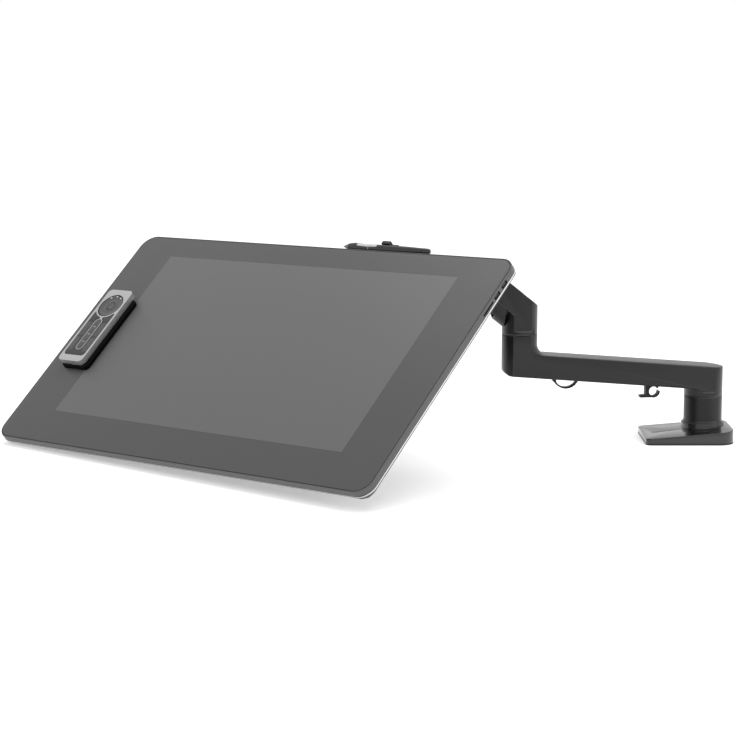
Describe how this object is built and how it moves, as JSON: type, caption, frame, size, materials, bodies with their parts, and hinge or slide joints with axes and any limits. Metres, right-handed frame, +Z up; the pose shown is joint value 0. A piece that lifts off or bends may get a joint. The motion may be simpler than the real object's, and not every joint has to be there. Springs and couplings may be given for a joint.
{
  "type": "pen display on a desk arm",
  "caption": "Large pen drawing display on a swing arm with a desk base, holding a pen in a clip and a key remote on its left bezel",
  "frame": {"origin": "on the desk, under the axis of the pillar that carries the arm", "axes": "Z up, X along the base plate's long front edge, the user sits on the -Y side"},
  "size_m": [0.9975, 0.6568, 0.2823],
  "materials": {
    "arm_paint": "satin black paint",
    "base_paint": "satin dark grey paint",
    "cover_plastic": "matte black plastic",
    "clip_plastic": "black plastic",
    "pad_rubber": "black rubber",
    "steel": "plain steel",
    "screen_glass": "etched anti-glare glass",
    "screen_panel": "switched off screen",
    "board_green": "solder resist",
    "sheet_metal": "plain sheet",
    "edge_metal": "satin grey anodised band",
    "rear_plastic": "fine texture grey plastic",
    "port_metal": "port shells",
    "fan_plastic": "black plastic",
    "pen_body": "matte black plastic",
    "pen_rubber": "soft touch grip",
    "pen_switch": "gloss grey switch",
    "nib": "grey nib",
    "remote_frame": "satin silver frame",
    "remote_black": "matte black face",
    "remote_ring": "smooth grey touch ring",
    "key_plastic": "satin keys"
  },
  "bodies": {
    "base": {"base_plate": "base_paint", "base_pad": "pad_rubber", "base_screws": "steel", "pillar": "arm_paint", "pillar_spindle": "steel", "pillar_washer": "cover_plastic"},
    "lower_arm": {"lower_arm": "arm_paint", "lower_arm_cover": "cover_plastic", "elbow_spindle": "steel", "elbow_washer": "cover_plastic", "loop_clip": "clip_plastic", "hook_clip": "clip_plastic"},
    "shoulder": {"shoulder": "arm_paint", "shoulder_cover": "cover_plastic", "shoulder_pins": "steel"},
    "upper_arm": {"upper_arm": "arm_paint", "gas_spring": "steel"},
    "lower_link": {"lower_link": "arm_paint"},
    "head_bracket": {"head_bracket": "arm_paint", "head_pins": "steel"},
    "pan_yoke": {"pan_yoke": "arm_paint", "tilt_pin": "steel"},
    "tilt_block": {"tilt_block": "arm_paint"},
    "display": {"mount_plate": "arm_paint", "mount_screws": "steel", "front_glass": "screen_glass", "screen_panel": "screen_panel", "sensor_board": "board_green", "chassis": "sheet_metal", "rim": "edge_metal", "rear_cover": "rear_plastic", "main_board": "board_green", "power_board": "board_green", "rear_ports": "port_metal", "side_ports": "port_metal", "fan_frames": "fan_plastic", "pen_holder": "clip_plastic", "remote_holder": "clip_plastic"},
    "fan_left": {"fan_left": "fan_plastic"},
    "fan_right": {"fan_right": "fan_plastic"},
    "power_button": {"power_button": "clip_plastic"},
    "pen": {"pen_barrel": "pen_body", "pen_grip": "pen_rubber", "pen_cap": "pen_body"},
    "pen_tip": {"pen_tip": "nib"},
    "pen_switch": {"pen_switch": "pen_switch"},
    "remote": {"remote_shell": "remote_frame", "remote_face": "remote_black", "remote_ring": "remote_ring", "remote_board": "board_green", "remote_battery": "steel"},
    "ring_button": {"ring_button": "remote_ring"},
    "centre_key_1": {"centre_key_1": "key_plastic"},
    "centre_key_2": {"centre_key_2": "key_plastic"},
    "centre_key_3": {"centre_key_3": "key_plastic"},
    "centre_key_4": {"centre_key_4": "key_plastic"},
    "side_key_1": {"side_key_1": "key_plastic"},
    "side_key_2": {"side_key_2": "key_plastic"},
    "side_key_3": {"side_key_3": "key_plastic"},
    "side_key_4": {"side_key_4": "key_plastic"}
  },
  "joints": [
    {"name": "base_swivel", "type": "hinge", "parent": "base", "child": "lower_arm", "pos_m": [0, 0, 0.0582], "axis": [0, 0, 1], "range_deg": [-90, 90]},
    {"name": "elbow_swivel", "type": "hinge", "parent": "lower_arm", "child": "shoulder", "pos_m": [-0.25749, -0.04078, 0.1493], "axis": [0, 0, 1], "range_deg": [-70, 100]},
    {"name": "arm_lift", "type": "hinge", "parent": "shoulder", "child": "upper_arm", "pos_m": [-0.31853, -0.05165, 0.2226], "axis": [-0.1754, 0.9845, 0], "range_deg": [-4, 50]},
    {"name": "link_lift", "type": "hinge", "parent": "shoulder", "child": "lower_link", "pos_m": [-0.31853, -0.05165, 0.1966], "axis": [-0.1754, 0.9845, 0], "range_deg": [-4, 50]},
    {"name": "head_level", "type": "hinge", "parent": "upper_arm", "child": "head_bracket", "pos_m": [-0.53398, -0.09003, 0.09625], "axis": [-0.1754, 0.9845, 0], "range_deg": [-50, 4]},
    {"name": "head_pan", "type": "hinge", "parent": "head_bracket", "child": "pan_yoke", "pos_m": [-0.56155, -0.09494, 0.07645], "axis": [0, 0, 1], "range_deg": [-40, 10]},
    {"name": "head_tilt", "type": "hinge", "parent": "pan_yoke", "child": "tilt_block", "pos_m": [-0.58528, -0.12067, 0.07645], "axis": [0.7349, -0.6782, 0], "range_deg": [-8, 45]},
    {"name": "head_rotate", "type": "hinge", "parent": "tilt_block", "child": "display", "pos_m": [-0.62404, -0.16267, 0.14337], "axis": [-0.4404, -0.4773, 0.7604], "range_deg": [-90, 90]},
    {"name": "fan_left_spin", "type": "hinge", "parent": "display", "child": "fan_left", "pos_m": [-0.74106, -0.03201, 0.1], "axis": [-0.4404, -0.4773, 0.7604], "continuous": true},
    {"name": "fan_right_spin", "type": "hinge", "parent": "display", "child": "fan_right", "pos_m": [-0.47829, -0.26311, 0.10714], "axis": [-0.4404, -0.4773, 0.7604], "continuous": true},
    {"name": "power_press", "type": "slide", "parent": "display", "child": "power_button", "axis": [-0.4923, -0.5799, -0.6491], "range_m": [0, 0.0006], "stiffness_N_per_m": 800},
    {"name": "pen_lift_off", "type": "slide", "parent": "display", "child": "pen", "axis": [-0.4404, -0.4773, 0.7604], "range_m": [0, 0.04]},
    {"name": "pen_tip_press", "type": "slide", "parent": "pen", "child": "pen_tip", "axis": [0.7507, -0.6603, 0.0204], "range_m": [0, 0.0008], "stiffness_N_per_m": 400},
    {"name": "pen_switch_rock", "type": "hinge", "parent": "pen", "child": "pen_switch", "pos_m": [-0.46386, -0.10038, 0.27419], "axis": [0.4923, 0.5799, 0.6491], "range_deg": [-1.5, 1.5], "stiffness_Nm_per_rad": 0.05},
    {"name": "remote_lift_off", "type": "slide", "parent": "display", "child": "remote", "axis": [-0.4404, -0.4773, 0.7604], "range_m": [0, 0.04]},
    {"name": "ring_press", "type": "slide", "parent": "remote", "child": "ring_button", "axis": [0.4404, 0.4773, -0.7604], "range_m": [0, 0.0006], "stiffness_N_per_m": 600},
    {"name": "centre_key_1_press", "type": "slide", "parent": "remote", "child": "centre_key_1", "axis": [0.4404, 0.4773, -0.7604], "range_m": [0, 0.0006], "stiffness_N_per_m": 500},
    {"name": "centre_key_2_press", "type": "slide", "parent": "remote", "child": "centre_key_2", "axis": [0.4404, 0.4773, -0.7604], "range_m": [0, 0.0006], "stiffness_N_per_m": 500},
    {"name": "centre_key_3_press", "type": "slide", "parent": "remote", "child": "centre_key_3", "axis": [0.4404, 0.4773, -0.7604], "range_m": [0, 0.0006], "stiffness_N_per_m": 500},
    {"name": "centre_key_4_press", "type": "slide", "parent": "remote", "child": "centre_key_4", "axis": [0.4404, 0.4773, -0.7604], "range_m": [0, 0.0006], "stiffness_N_per_m": 500},
    {"name": "side_key_1_press", "type": "slide", "parent": "remote", "child": "side_key_1", "axis": [0.4404, 0.4773, -0.7604], "range_m": [0, 0.0006], "stiffness_N_per_m": 500},
    {"name": "side_key_2_press", "type": "slide", "parent": "remote", "child": "side_key_2", "axis": [0.4404, 0.4773, -0.7604], "range_m": [0, 0.0006], "stiffness_N_per_m": 500},
    {"name": "side_key_3_press", "type": "slide", "parent": "remote", "child": "side_key_3", "axis": [0.4404, 0.4773, -0.7604], "range_m": [0, 0.0006], "stiffness_N_per_m": 500},
    {"name": "side_key_4_press", "type": "slide", "parent": "remote", "child": "side_key_4", "axis": [0.4404, 0.4773, -0.7604], "range_m": [0, 0.0006], "stiffness_N_per_m": 500}
  ],
  "couplings": [
    {"joint": "link_lift", "follows": "arm_lift", "ratio": 1},
    {"joint": "head_level", "follows": "arm_lift", "ratio": -1}
  ]
}
